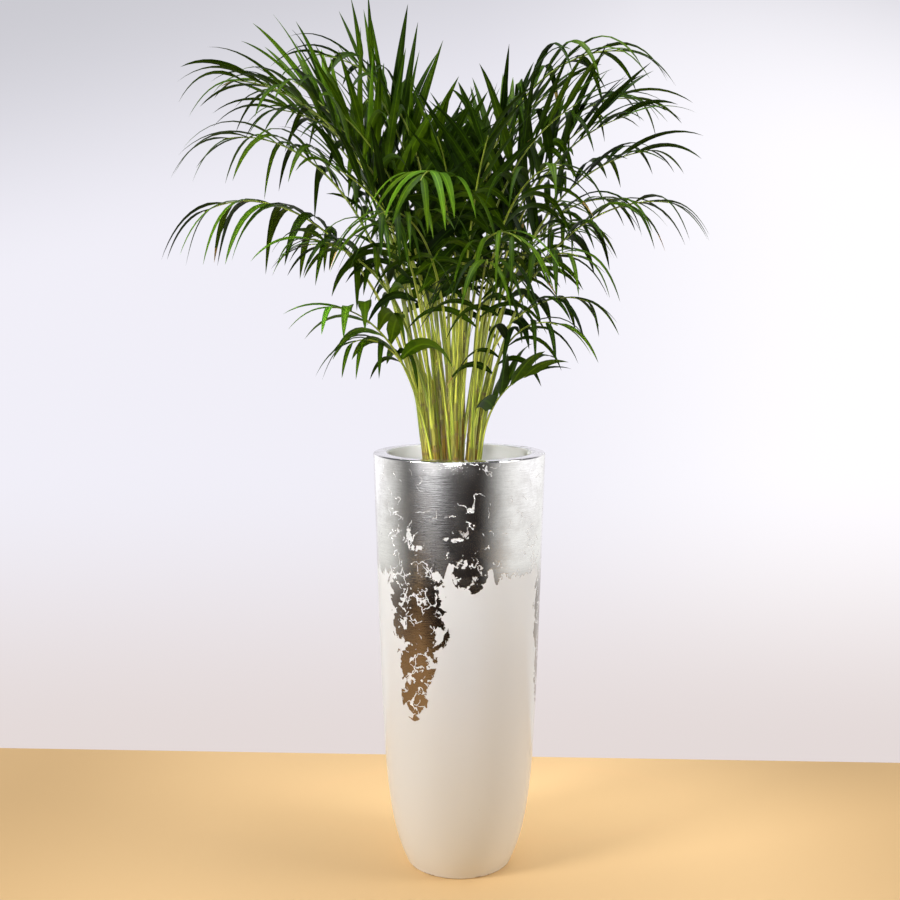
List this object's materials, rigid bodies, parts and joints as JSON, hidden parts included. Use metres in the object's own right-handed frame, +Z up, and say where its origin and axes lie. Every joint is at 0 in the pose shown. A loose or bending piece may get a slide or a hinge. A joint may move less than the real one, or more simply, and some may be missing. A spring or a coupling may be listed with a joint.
{
  "type": "potted palm",
  "caption": "Clumping areca palm with arching feathery fronds, growing from the soil of a tall flared planter with a worn silver-leaf finish.",
  "frame": {"origin": "centre of the planter's flat underside", "axes": "+Z up along the planter's axis, -Y towards the front, +X to the right"},
  "size_m": [1.142, 0.9096, 1.8237],
  "materials": {
    "planter": "worn silver leaf over gloss cream",
    "soil": "dark bark mulch",
    "cane": "smooth yellow-green sheath",
    "leaf": "satin green leaf"
  },
  "bodies": {
    "root": {"pot": "planter", "soil": "soil", "cane_01": "cane", "cane_02": "cane", "cane_03": "cane", "cane_04": "cane", "cane_05": "cane", "cane_06": "cane", "cane_07": "cane", "cane_08": "cane", "cane_09": "cane", "cane_10": "cane", "cane_11": "cane", "frond_01": "leaf", "frond_02": "leaf", "frond_03": "leaf", "frond_04": "leaf", "frond_05": "leaf", "frond_06": "leaf", "frond_07": "leaf", "frond_08": "leaf", "frond_09": "leaf", "frond_10": "leaf", "frond_11": "leaf", "frond_12": "leaf", "frond_13": "leaf", "frond_14": "leaf", "frond_15": "leaf", "frond_16": "leaf", "frond_17": "leaf", "frond_18": "leaf", "frond_19": "leaf", "frond_20": "leaf", "frond_21": "leaf", "frond_22": "leaf", "frond_23": "leaf", "frond_24": "leaf", "frond_25": "leaf", "frond_26": "leaf", "frond_27": "leaf", "frond_28": "leaf", "frond_29": "leaf", "frond_30": "leaf", "frond_31": "leaf", "frond_32": "leaf", "frond_33": "leaf", "frond_34": "leaf", "frond_35": "leaf", "frond_36": "leaf", "frond_37": "leaf", "frond_38": "leaf", "frond_39": "leaf", "frond_40": "leaf", "frond_41": "leaf", "frond_42": "leaf", "frond_43": "leaf", "frond_44": "leaf", "frond_45": "leaf", "frond_46": "leaf", "frond_47": "leaf"}
  },
  "joints": []
}
